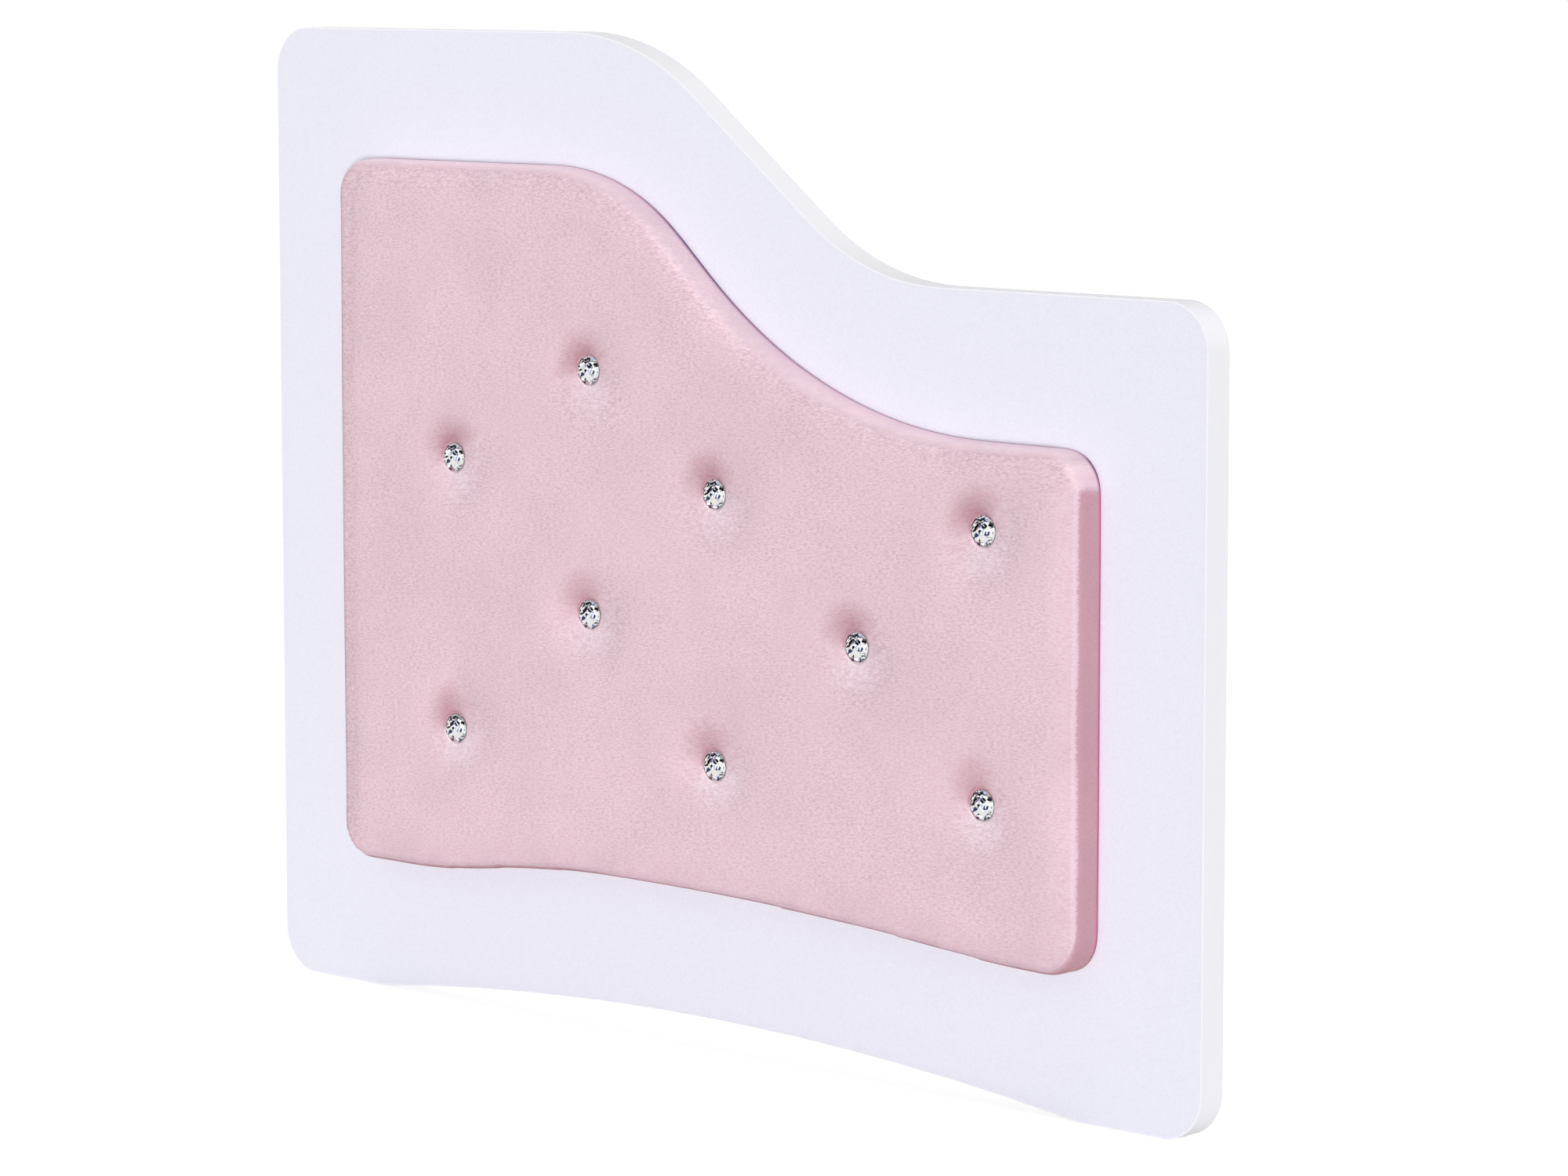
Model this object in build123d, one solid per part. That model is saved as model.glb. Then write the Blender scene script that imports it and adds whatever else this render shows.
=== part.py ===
from build123d import *
import math
import os
from dataclasses import dataclass

os.makedirs("parts", exist_ok=True)

# A single bed's headboard: a white laminated panel on two feet, with a tufted velvet pad on its front.
# X runs along the panel, +Z is up and the front faces -Y. Depths are measured forward from the panel's front face.

# Panel
panel_width = 900.0
high_side = 715.5
low_side = 550.0
panel_thickness = 22.0
panel_corner_radius = 33.0
step_start = 314.0
step_end = 668.0
step_straight = 142.0
step_split_share = 0.5
foot_width = 106.0
arch_rise = 22.5
band_thickness = 1.0
band_seam_gap = 0.2
band_seam_from_edge = 70.0

# Pad outline, set back from the panel's edges
pad_left_margin = 91.0
pad_right_margin = 88.0
pad_floor_margin = 99.6
pad_high_margin = 93.5
pad_low_margin = 100.0
pad_corner_radius = 28.0
pad_step_lead = 8.0
pad_step_trail = 47.0
pad_step_straight = 38.0
pad_step_split_share = 0.317
pad_arch_rise = 16.4
pad_arch_left_flat = 41.0
pad_arch_right_flat = 2.0
pad_crest_from_left = 294.0
pad_crest_width = 40.0
pad_arch_left_share = 0.35
pad_arch_right_share = 0.22

# Pad layers, from the panel forward
staple_wire = 0.6
cover_thickness = 1.2
base_thickness = 9.0
foam_thickness = 10.0
wadding_thickness = 1.8
layer_gap = 0.1
cover_fold_width = 32.0
least_corner_radius = 1.5
side_draw = 0.8
edge_roll = 5.0
least_roll = 1.0
roll_angles = (0.0, 45.0, 90.0)
crown_run = 18.0
crown_rise = 1.2

# Tufts and their buttons, placed as shares of the pad's width and height
column_shares = (0.173, 0.367, 0.539, 0.726, 0.884)
row_shares = (0.2085, 0.392, 0.573, 0.725)
left_tuft_lift_share = 0.016
right_tuft_drop_share = 0.013
tuft_depth = 8.0
tuft_seat_radius = 9.0
tuft_mouth_radius = 34.0
tuft_lip = 0.25
tuft_lower_share = 0.35
tuft_round_share = 0.5
tuft_pleats = 8
crystal_radius = 10.5
crystal_girdle = 0.8
crystal_crown_height = 3.6
crystal_table_radius = 6.2
crystal_star_inset = 0.3
crystal_star_drop = 1.1
crystal_break_drop = 1.45
crystal_break_inset = 1.15
crystal_mains = 8
cup_foot_radius = 5.0
cup_rim_radius = 9.3
cup_height = 3.2
cup_wall = 0.6
loop_wire_radius = 0.6
loop_radius = 2.6
loop_leg = 1.0
cord_radius = 0.5
wire_sides = 5
cord_bend_radius = 1.5
cord_tail = 20.0
cord_loop_runs = 3
loop_bow_runs = 6
cord_staple_from_hole = 14.0

# Fasteners
fit_gap = 0.1
hole_clearance = 0.3
hardware_sides = 8
staple_crown = 10.0
staple_width = 1.2
staple_bite = 6.0
cover_staple_count = 20
cover_staple_inset = 18.0
cover_staple_lead_share = 0.5
screw_radius = 3.0
screw_length = 30.0
screw_head_radius = 6.0
screw_socket_across = 4.0
screw_socket_depth = 2.0
screw_margin = 57.0
screw_column_shares = (0.07, 0.5, 0.945)
screw_upper_shares = (0.456, 0.766)
nut_barrel_radius = 3.9
nut_barrel_length = 7.5
nut_flange_radius = 9.5
nut_flange_thickness = 1.2
insert_radius = 6.0
insert_bore_radius = 3.4
insert_length = 15.0
bolt_spacing_across = 640.0
bolt_spacing_up = 190.0
bolt_low_row = 70.0
overrun = 1.0

# Depths that follow from the layers
fold_back = staple_wire
base_back = fold_back + cover_thickness
base_front = base_back + base_thickness
foam_front = base_front + foam_thickness
wadding_front = foam_front + layer_gap + wadding_thickness
cover_front = wadding_front + layer_gap + cover_thickness
crown_front = cover_front + crown_rise
tuft_seat = crown_front - tuft_depth

# How far each surface lies inside the velvet's outer one
cover_inside = cover_thickness
wadding_outside = cover_inside + layer_gap
wadding_inside = wadding_outside + wadding_thickness
foam_outside = wadding_inside + layer_gap
base_inset = side_draw + foam_outside

# Heights in a button, from its seat forward
pavilion_slope = cup_height / (cup_rim_radius - cup_foot_radius)
cup_wall_step = cup_wall * math.hypot(1.0, pavilion_slope) / pavilion_slope
culet_height = cup_wall + fit_gap
culet_radius = cup_foot_radius + culet_height / pavilion_slope - cup_wall_step - fit_gap
girdle_low = culet_height + (crystal_radius - culet_radius) * pavilion_slope
girdle_high = girdle_low + crystal_girdle
table_height = girdle_high + crystal_crown_height

# The whole object is centred in width and depth, with its feet at height zero
total_depth = panel_thickness + tuft_seat + table_height
back_y = total_depth / 2
face_y = back_y - panel_thickness
left_x = -panel_width / 2
right_x = panel_width / 2
pad_left = left_x + pad_left_margin
pad_right = right_x - pad_right_margin
pad_bottom = pad_floor_margin
pad_high = high_side - pad_high_margin
pad_low = low_side - pad_low_margin


@dataclass
class Bend:
    """One arc of an outline, in the plane of the panel, with its angles from +X in degrees."""

    x: float
    z: float
    radius: float
    start: float
    end: float

    def point(self, angle):
        turn = math.radians(angle)
        return self.x + self.radius * math.cos(turn), self.z + self.radius * math.sin(turn)


def s_bend(run, fall, straight, first_share):
    """Radii and slope of two opposite bends, with a straight between them, that join two level lines."""
    radii = (run**2 + fall**2 - straight**2) / (2 * fall)
    slope = math.atan2(radii, straight) - math.atan2(radii - fall, run)
    return radii * first_share, radii * (1 - first_share), math.degrees(slope)


def corner(x, z, radius, inset, side_x, side_z, start):
    """A quarter turn at the corner x, z, which keeps a small radius where the inset passes its own."""
    left = max(radius - inset, min(least_corner_radius, radius))
    back = inset + left
    return Bend(x - side_x * back, z - side_z * back, left, start, start - 90)


def step_bends(start, end, high, low, straight, share, inset):
    """The convex and the hollow bend of a falling step."""
    convex, hollow, slope = s_bend(end - start, high - low, straight, share)
    return [
        Bend(start, high - convex, convex - inset, 90, 90 - slope),
        Bend(end, low + hollow, hollow + inset, 270 - slope, 270),
    ]


def panel_bends(inset):
    """The panel's outline, clockwise from its high corner."""
    half_arch = panel_width / 2 - foot_width
    arch_radius = (half_arch**2 + arch_rise**2) / (2 * arch_rise)
    arch_z = arch_rise - arch_radius
    spring = math.degrees(math.asin((inset - arch_z) / (arch_radius + inset)))
    radius = panel_corner_radius
    return [
        corner(left_x, high_side, radius, inset, -1, 1, 180),
        *step_bends(left_x + step_start, left_x + step_end, high_side, low_side,
                    step_straight, step_split_share, inset),
        corner(right_x, low_side, radius, inset, 1, 1, 90),
        corner(right_x, 0, radius, inset, 1, -1, 0),
        Bend(0, arch_z, arch_radius + inset, spring, 180 - spring),
        corner(left_x, 0, radius, inset, -1, -1, 270),
    ]


def pad_arch_bends(inset):
    """The soft arch under the pad, from its right end to its left one."""
    deep = max(0, inset + least_corner_radius - pad_corner_radius)
    right_end = pad_right - pad_corner_radius - pad_arch_right_flat - deep
    left_end = pad_left + pad_corner_radius + pad_arch_left_flat + deep
    crest_left = pad_left + pad_crest_from_left
    crest_right = crest_left + pad_crest_width
    crest = pad_bottom + pad_arch_rise
    low_r, high_r, slope_r = s_bend(right_end - crest_right, pad_arch_rise, 0, pad_arch_right_share)
    low_l, high_l, slope_l = s_bend(crest_left - left_end, pad_arch_rise, 0, pad_arch_left_share)
    return [
        Bend(right_end, pad_bottom + low_r, low_r - inset, 270, 270 - slope_r),
        Bend(crest_right, crest - high_r, high_r + inset, 90 - slope_r, 90),
        Bend(crest_left, crest - high_l, high_l + inset, 90, 90 + slope_l),
        Bend(left_end, pad_bottom + low_l, low_l - inset, 270 + slope_l, 270),
    ]


def pad_bends(inset):
    """The pad's outline, clockwise from its high corner."""
    radius = pad_corner_radius
    start = left_x + step_start - pad_step_lead
    end = left_x + step_end + pad_step_trail
    return [
        corner(pad_left, pad_high, radius, inset, -1, 1, 180),
        *step_bends(start, end, pad_high, pad_low, pad_step_straight, pad_step_split_share, inset),
        corner(pad_right, pad_low, radius, inset, 1, 1, 90),
        corner(pad_right, pad_bottom, radius, inset, 1, -1, 0),
        *pad_arch_bends(inset),
        corner(pad_left, pad_bottom, radius, inset, -1, -1, 270),
    ]


def outline(bends, depth):
    """A closed wire through the bends, joined by straights, at a depth in front of the panel."""
    y = face_y - depth
    edges = []
    for bend, following in zip(bends, bends[1:] + bends[:1]):
        angles = (bend.start, (bend.start + bend.end) / 2, bend.end)
        first, middle, last = [Vector(x, y, z) for x, z in map(bend.point, angles)]
        edges.append(Edge.make_three_point_arc(first, middle, last))
        x, z = following.point(following.start)
        if (Vector(x, y, z) - last).length > layer_gap * layer_gap:
            edges.append(Edge.make_line(last, Vector(x, y, z)))
    return Wire(edges)


def slab(bends, back, front):
    """A plate with this outline between two depths."""
    return extrude(Face(outline(bends, back)), amount=front - back, dir=(0, -1, 0))


def pad_layer(inside, back):
    """The pad's soft form, drawn in at the back, rolled over at the front and crowned, inset evenly."""
    roll = max(edge_roll - inside, least_roll)
    shoulder = cover_front - edge_roll
    stations = [(side_draw * (shoulder - back) / (shoulder - fold_back), back)]
    for angle in roll_angles:
        turn = math.radians(angle)
        stations.append((edge_roll - inside - roll * math.cos(turn), shoulder + roll * math.sin(turn)))
    stations.append((edge_roll - inside + crown_run, shoulder + roll + crown_rise))
    wires = [outline(pad_bends(inside + inset), depth) for inset, depth in stations]
    return Solid.make_loft(wires, ruled=True)


def lathe(*corners):
    """A turned piece round Y from radius and depth corners."""
    profile = Wire.make_polygon([Vector(radius, -depth, 0) for radius, depth in corners])
    return revolve(Face(profile), axis=Axis.Y)


def around(angle, radius, depth):
    """A point on a circle round Y at a depth, with its angle in degrees."""
    turn = math.radians(angle)
    return Vector(radius * math.cos(turn), -depth, radius * math.sin(turn))


def spindle(stations, sides):
    """A flat-sided piece round Y through radius and depth stations, for small or hidden round things."""
    turns = [360 * side / sides for side in range(sides)]
    rings = [[around(turn, radius, depth) for turn in turns] for radius, depth in stations]
    loops = [rings[0], rings[-1]]
    for lower, upper in zip(rings, rings[1:]):
        for side in range(sides):
            loops.append([lower[side - 1], lower[side], upper[side], upper[side - 1]])
    return Solid(Shell([Face(Wire.make_polygon(loop)) for loop in loops]))


def tuft_cutter(inside):
    """The pleated hollow that one button pulls into a layer."""
    seat = tuft_seat - inside
    rise = tuft_depth + tuft_lip
    lower, upper, slope = s_bend(tuft_mouth_radius - tuft_seat_radius, rise, 0, tuft_lower_share)
    stations = [(tuft_seat_radius, seat)]
    turn = math.radians(slope)
    stations.append((tuft_seat_radius + lower * math.sin(turn), seat + lower * (1 - math.cos(turn))))
    turn = turn * tuft_round_share
    stations.append((tuft_mouth_radius - upper * math.sin(turn), seat + rise - upper * (1 - math.cos(turn))))
    stations.append((tuft_mouth_radius, seat + rise))
    stations.append((tuft_mouth_radius, seat + rise + overrun))
    return spindle(stations, tuft_pleats)


def bar(radius, back, front):
    """A flat-sided bar along the depth, for the small holes inside the pad."""
    return spindle([(radius, back), (radius, front)], hardware_sides)


def on_seat(shape):
    """A piece made from height zero, moved forward to the seat of its tuft."""
    return Pos(0, -tuft_seat, 0) * shape


def at_place(shape, place):
    """A piece made on the depth axis, moved to its place on the panel's front."""
    x, z = place
    return Pos(x, face_y, z) * shape


def at_places(shape, places):
    return [at_place(shape, place) for place in places]


def button_places():
    """Nine tufts in staggered rows, the third row falling to the right with the pad's top."""
    width, height = pad_right - pad_left, pad_high - pad_bottom
    left, inner_left, middle, inner_right, right = column_shares
    low, second, third, top = row_shares
    spots = [
        (left, low), (middle, low), (right, low),
        (inner_left, second), (inner_right, second),
        (left, third + left_tuft_lift_share), (middle, third), (right, third - right_tuft_drop_share),
        (inner_left, top),
    ]
    return [(pad_left + width * across, pad_bottom + height * up) for across, up in spots]


def screw_places():
    """Three low screws, then the high corner, the upper middle and the low side's corner."""
    width = pad_right - pad_left
    left, middle, right = [pad_left + width * share for share in screw_column_shares]
    low = pad_bottom + screw_margin
    across, up = screw_upper_shares
    upper = pad_left + width * across, pad_bottom + (pad_high - pad_bottom) * up
    return [(left, low), (middle, low), (right, low), (left, pad_high - screw_margin), upper,
            (right, pad_low - screw_margin)]


def bolt_places():
    half = bolt_spacing_across / 2
    return [(x, z) for x in (-half, half) for z in (bolt_low_row, bolt_low_row + bolt_spacing_up)]


def staple(back):
    """A staple with its crown's back at this depth, legs forward, lying along X."""
    half = staple_crown / 2
    inner = half - staple_wire
    tip = base_back + staple_bite
    corners = [(-half, back), (half, back), (half, tip), (inner, tip), (inner, back + staple_wire),
               (-inner, back + staple_wire), (-inner, tip), (-half, tip)]
    loop = Wire.make_polygon([Vector(x, -depth, -staple_width / 2) for x, depth in corners])
    return extrude(Face(loop), amount=staple_width, dir=(0, 0, 1))


def staple_slots():
    """The two slots that a staple's legs cut through velvet and wood."""
    width = staple_wire + 2 * fit_gap
    slot = Box(width, base_back + staple_bite + fit_gap, staple_width + 2 * fit_gap)
    middle = -(base_back + staple_bite + fit_gap) / 2
    reach = (staple_crown - staple_wire) / 2
    return [Pos(side * reach, middle, 0) * slot for side in (-1, 1)]


def cover_staple_spots():
    """Even spots along the fold, each with the direction that its crown follows."""
    line = outline(pad_bends(cover_staple_inset), 0)
    spots = []
    for index in range(cover_staple_count):
        share = (index + cover_staple_lead_share) / cover_staple_count
        at, along = line.position_at(share), line.tangent_at(share)
        turn = math.degrees(math.atan2(-along.Z, along.X))
        spots.append(Pos(at.X, face_y, at.Z) * Rot(0, turn, 0))
    return spots


def cord_staple_spots():
    """One staple over both tails of each cord."""
    return [Pos(x + cord_staple_from_hole, face_y, z) * Rot(0, 90, 0) for x, z in button_places()]


def make_panel():
    panel = slab(panel_bends(band_thickness), -panel_thickness, 0)
    hole = bar(screw_radius + hole_clearance, -panel_thickness - overrun, overrun)
    sink_radius = screw_head_radius + fit_gap
    sink_tip = sink_radius - screw_radius - panel_thickness
    sink = spindle([(sink_radius, -panel_thickness), (screw_radius, sink_tip)], hardware_sides)
    pocket = bar(insert_radius + fit_gap, -panel_thickness - overrun, insert_length + fit_gap - panel_thickness)
    return panel - at_places(hole, screw_places()) - at_places(sink, screw_places()) - at_places(pocket, bolt_places())


def make_band():
    ring = slab(panel_bends(0), -panel_thickness, 0) - slab(panel_bends(band_thickness), -panel_thickness, 0)
    seam = Pos(left_x + band_seam_from_edge, back_y - panel_thickness / 2, 0)
    return ring - seam * Box(band_seam_gap, panel_thickness + overrun, band_thickness * 2 + overrun)


def strand_offset():
    """Half the distance between the two strands, which pass round the loop's wire."""
    return loop_wire_radius + fit_gap + cord_radius


def cord_hole_radius():
    return math.hypot(strand_offset() + cord_radius, cord_bend_radius) + hole_clearance


def make_base():
    base = slab(pad_bends(base_inset), base_back, base_front)
    cord_hole = bar(cord_hole_radius(), base_back - overrun, base_front + overrun)
    nut_hole = bar(nut_barrel_radius + fit_gap, base_back - overrun, base_front + overrun)
    slots = [spot * slot for spot in cover_staple_spots() + cord_staple_spots() for slot in staple_slots()]
    return base - at_places(cord_hole, button_places()) - at_places(nut_hole, screw_places()) - slots


def loop_hole():
    """The hole that a button's wire loop pierces in the soft layers."""
    radius = loop_radius + loop_wire_radius + hole_clearance
    return bar(radius, base_front - overrun, tuft_seat + overrun)


def tufted(layer, inside):
    return layer - at_places(tuft_cutter(inside), button_places())


def make_foam():
    foam = tufted(pad_layer(foam_outside, base_front), foam_outside)
    nut_space = bar(nut_flange_radius + hole_clearance, base_front, base_front + nut_flange_thickness + fit_gap)
    return foam - at_places(nut_space, screw_places()) - at_places(loop_hole(), button_places())


def make_wadding():
    outer = tufted(pad_layer(wadding_outside, base_back + layer_gap), wadding_outside)
    inner = tufted(pad_layer(wadding_inside, base_back - overrun), wadding_inside)
    return outer - inner - at_places(loop_hole(), button_places())


def make_cover():
    outer = tufted(pad_layer(0, fold_back), 0)
    inner = tufted(pad_layer(cover_inside, base_back), cover_inside)
    mouth = slab(pad_bends(cover_fold_width), fold_back - overrun, base_back + overrun)
    slots = [spot * slot for spot in cover_staple_spots() for slot in staple_slots()]
    return outer - inner - mouth - at_places(loop_hole(), button_places()) - slots


def facet(stone, turn, radius, height, slope):
    """Takes off what lies outside a plane that faces this way round the axis and leans in as it rises."""
    angle = math.radians(turn)
    out = Vector(math.cos(angle), 0, math.sin(angle))
    plane = Plane(origin=out * radius + Vector(0, -height, 0), z_dir=out * slope + Vector(0, -1, 0))
    return split(stone, bisect_by=plane, keep=Keep.BOTTOM)


def make_crystal():
    """A round brilliant: a table with stars, mains and break facets over a girdle, and a pavilion below."""
    sides = 2 * crystal_mains
    girdle = Face(Wire.make_polygon([
        Vector(crystal_radius * math.cos(turn), -culet_height, crystal_radius * math.sin(turn))
        for turn in [2 * math.pi * side / sides for side in range(sides)]
    ]))
    stone = extrude(girdle, amount=table_height - culet_height, dir=(0, -1, 0))
    step = 360 / crystal_mains
    main_slope = crystal_crown_height / (crystal_radius - crystal_table_radius)
    for main in range(crystal_mains):
        turn = main * step
        stone = facet(stone, turn, crystal_table_radius, table_height, main_slope)
        star_radius = crystal_table_radius - crystal_star_inset
        star_slope = crystal_star_drop / (crystal_radius - star_radius - crystal_break_inset)
        stone = facet(stone, turn + step / 2, star_radius, table_height, star_slope)
        break_slope = crystal_break_drop / crystal_break_inset
        for side in (-1, 1):
            stone = facet(stone, turn + side * step / 4, crystal_radius * math.cos(math.pi / sides), girdle_high,
                          break_slope)
        stone = facet_below(stone, turn + step / 2)
    return stone


def facet_below(stone, turn):
    """One pavilion facet, parallel to the cup's wall."""
    angle = math.radians(turn)
    out = Vector(math.cos(angle), 0, math.sin(angle))
    radius = culet_radius * math.cos(math.pi / crystal_mains)
    slope = pavilion_slope / math.cos(math.pi / crystal_mains)
    plane = Plane(origin=out * radius + Vector(0, -culet_height, 0), z_dir=out * slope + Vector(0, 1, 0))
    return split(stone, bisect_by=plane, keep=Keep.BOTTOM)


def bend_points(x, depth, z, radius, start, end, runs):
    """Points of an arc across the depth that starts and ends at these angles, in even straight runs."""
    points = []
    for run in range(runs + 1):
        turn = math.radians(start + (end - start) * run / runs)
        points.append((x + radius * math.cos(turn), depth + radius * math.sin(turn), z))
    return points


def wire_along(points, radius):
    """A bent wire or twine with flat sides that follows the points, given as X, depth and Z."""
    places = [Vector(x, -depth, z) for x, depth, z in points]
    path = Wire.make_polygon(places, close=False)
    start = Plane(origin=places[0], z_dir=places[1] - places[0])
    return sweep(start * RegularPolygon(radius, wire_sides), path=path, transition=Transition.RIGHT)


def make_button_back():
    """A pressed cup that holds the crystal's lower facets, with a wire loop behind it."""
    outer = spindle([(cup_foot_radius, 0), (cup_rim_radius, cup_height)], crystal_mains)
    floor = cup_foot_radius + cup_wall / pavilion_slope - cup_wall_step
    mouth = cup_rim_radius - cup_wall_step + overrun / pavilion_slope
    inner = spindle([(floor, cup_wall), (mouth, cup_height + overrun)], crystal_mains)
    root = cup_wall / 2
    bow = bend_points(0, -loop_leg, 0, loop_radius, 180, 360, loop_bow_runs)
    loop = wire_along([(-loop_radius, root, 0), *bow, (loop_radius, root, 0)], loop_wire_radius)
    return outer - inner + loop


def make_cord():
    """A twine that turns round the wire loop, with both strands through the pad and their tails laid flat."""
    offset = strand_offset()
    tail = base_back - fit_gap - cord_radius
    turn = tuft_seat - loop_leg - loop_radius
    knee = bend_points(cord_bend_radius, tail + cord_bend_radius, -offset, cord_bend_radius, 270, 180, 2)
    round_loop = []
    for run in range(1, cord_loop_runs):
        angle = math.pi * run / cord_loop_runs
        round_loop.append((0, turn + offset * math.sin(angle), -offset * math.cos(angle)))
    there = [(cord_tail, tail, -offset), *knee, (0, turn, -offset)]
    back = [(x, depth, -z) for x, depth, z in reversed(there)]
    return wire_along([*there, *round_loop, *back], cord_radius)


def make_screw():
    tip = screw_length - panel_thickness
    sunk = screw_head_radius - screw_radius - panel_thickness
    screw = spindle([(screw_head_radius, -panel_thickness), (screw_radius, sunk), (screw_radius, tip)],
                    hardware_sides)
    socket = Plane(origin=(0, panel_thickness, 0), z_dir=(0, -1, 0)) * RegularPolygon(
        screw_socket_across / 2, 6, major_radius=False)
    return screw - extrude(socket, amount=screw_socket_depth)


def make_pad_nut():
    flange_front = base_front + nut_flange_thickness
    barrel = bar(nut_barrel_radius, base_front - nut_barrel_length, base_front)
    flange = bar(nut_flange_radius, base_front, flange_front)
    return barrel + flange - bar(screw_radius + fit_gap, 0, flange_front + overrun)


def make_bed_insert():
    front = insert_length - panel_thickness
    bore = lathe((0, -panel_thickness - overrun), (insert_bore_radius, -panel_thickness - overrun),
                 (insert_bore_radius, front + overrun), (0, front + overrun))
    return bar(insert_radius, -panel_thickness, front) - bore


def write(name, shape):
    """One file for one named piece, or for one group of alike pieces."""
    shape.label = name
    export_step(shape, f"parts/{name}.step")


def write_each(name, shape, places):
    for number, place in enumerate(places, start=1):
        write(f"{name}_{number}", at_place(shape, place))


write("board_panel", make_panel())
write("edge_band", make_band())
write("pad_base", make_base())
write("pad_foam", make_foam())
write("pad_wadding", make_wadding())
write("velvet_cover", make_cover())
write_each("crystal", on_seat(make_crystal()), button_places())
write_each("button_back", on_seat(make_button_back()), button_places())
write_each("button_cord", make_cord(), button_places())
write("cover_staples", Compound([spot * staple(0) for spot in cover_staple_spots()]))
write("cord_staples", Compound([spot * staple(0) for spot in cord_staple_spots()]))
write("pad_nuts", Compound(at_places(make_pad_nut(), screw_places())))
write("pad_screws", Compound(at_places(make_screw(), screw_places())))
write("bed_insert_nuts", Compound(at_places(make_bed_insert(), bolt_places())))
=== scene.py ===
"""A single bed's headboard in a plain studio: a white laminated panel with a buttoned velvet pad."""

import logging
import math
from dataclasses import dataclass
from enum import Enum

import bmesh
import bpy
import numpy as np
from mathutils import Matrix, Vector
from mathutils.kdtree import KDTree


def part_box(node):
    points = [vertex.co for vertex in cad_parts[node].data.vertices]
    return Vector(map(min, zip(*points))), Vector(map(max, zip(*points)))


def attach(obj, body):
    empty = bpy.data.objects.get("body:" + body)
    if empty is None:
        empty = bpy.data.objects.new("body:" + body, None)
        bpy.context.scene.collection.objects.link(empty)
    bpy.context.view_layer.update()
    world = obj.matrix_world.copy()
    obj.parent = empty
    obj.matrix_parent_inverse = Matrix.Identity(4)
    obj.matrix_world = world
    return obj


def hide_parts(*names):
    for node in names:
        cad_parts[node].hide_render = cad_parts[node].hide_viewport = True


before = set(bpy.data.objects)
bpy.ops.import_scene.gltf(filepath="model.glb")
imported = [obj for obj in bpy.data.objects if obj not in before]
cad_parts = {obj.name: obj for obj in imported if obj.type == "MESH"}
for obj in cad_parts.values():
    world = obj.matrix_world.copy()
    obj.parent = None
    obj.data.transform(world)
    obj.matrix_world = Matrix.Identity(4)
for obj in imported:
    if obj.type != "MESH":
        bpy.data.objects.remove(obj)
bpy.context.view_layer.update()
LOG = logging.getLogger("headboard")
MM = 0.001
MERGE = 0.01 * MM
# The velvet's share of painted tuft shade and highlight, stored on its points
TUFT_SHADE_ATTRIBUTE = "tuft_shade_share"
NOISE_RANGE = (0.3, 0.7)
Colour = tuple[float, float, float, float]
Fade = tuple[float, float, float, float]
Pair = tuple[float, float]
Node = bpy.types.Node
Socket = bpy.types.NodeSocket
Piece = bpy.types.Object


class Slot(Enum):
    """Names of the material slots for the pieces that are made again here."""

    EDGING = "edging"
    FOAM = "foam"
    WADDING = "wadding"
    VELVET = "velvet"


def linear(code: str) -> Colour:
    """Turns an sRGB hex colour to linear.

    Args:
        code: six hex digits after a number sign.

    Returns:
        Red, green, blue and an alpha of one.
    """
    parts = [int(code[at : at + 2], 16) / 255 for at in (1, 3, 5)]
    red, green, blue = [
        part / 12.92 if part <= 0.04045 else ((part + 0.055) / 1.055) ** 2.4 for part in parts
    ]
    return red, green, blue, 1.0


def add(tree: bpy.types.NodeTree, kind: str, settings: dict | None = None, **inputs: object) -> Node:
    """Adds a node with its settings and links.

    Args:
        tree: the material's or the world's tree.
        kind: the node's type, without its leading ShaderNode.
        settings: properties of the node.
        inputs: values or sockets for its inputs, by name with _ for a space, or by number after an n.

    Returns:
        The node.
    """
    node = tree.nodes.new("ShaderNode" + kind)
    for name, value in (settings or {}).items():
        setattr(node, name, value)
    for name, value in inputs.items():
        socket = node.inputs[int(name[1:])] if name[1:].isdigit() else node.inputs[name.replace("_", " ")]
        if isinstance(value, Socket):
            tree.links.new(value, socket)
        else:
            socket.default_value = value
    return node


def steps(fade: Fade) -> dict[str, float]:
    """The inputs of a fade between two values, given as its start, its end and its value at each."""
    return dict(zip(("n1", "n2", "n3", "n4"), fade))


def ramp(
    tree: bpy.types.NodeTree, value: Socket, stops: tuple[tuple[float, str], ...], passage: str = "LINEAR"
) -> Socket:
    """Maps a value to colours.

    Args:
        tree: the material's tree.
        value: what is mapped, from 0 to 1.
        stops: places and the hex codes of their colours.
        passage: how the colours pass into each other.

    Returns:
        The colour.
    """
    node = add(tree, "ValToRGB", Fac=value)
    band = node.color_ramp
    band.interpolation = passage
    colours = [(place, linear(code)) for place, code in stops]
    band.elements[1].position, band.elements[1].color = colours[-1]
    band.elements[0].position, band.elements[0].color = colours[0]
    for place, colour in colours[1:-1]:
        band.elements.new(place).color = colour
    return node.outputs["Color"]


def grain(
    tree: bpy.types.NodeTree, size: Vector, detail: float = 2.0, turn: float = 0.0, rough: float = 0.5
) -> Socket:
    """Soft noise with spots of a real size.

    Args:
        tree: the material's tree.
        size: a spot's width, depth and height in metres.
        detail: how many finer layers it has.
        turn: how far its long side is turned in the front's plane, in radians.
        rough: how strong the finer layers are.

    Returns:
        A value round one half.
    """
    place = add(tree, "TexCoord").outputs["Object"]
    turned = add(tree, "Mapping", {"vector_type": "TEXTURE"}, Vector=place, Rotation=(0, turn, 0), Scale=size)
    noise = add(tree, "TexNoise", Vector=turned.outputs["Vector"], Scale=1.0, Detail=detail, Roughness=rough)
    return noise.outputs[0]


def spread(tree: bpy.types.NodeTree, value: Socket, low: float, high: float) -> Socket:
    """Stretches a noise's middle range to between two values."""
    return add(tree, "MapRange", Value=value, **steps((*NOISE_RANGE, low, high))).outputs[0]


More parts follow.
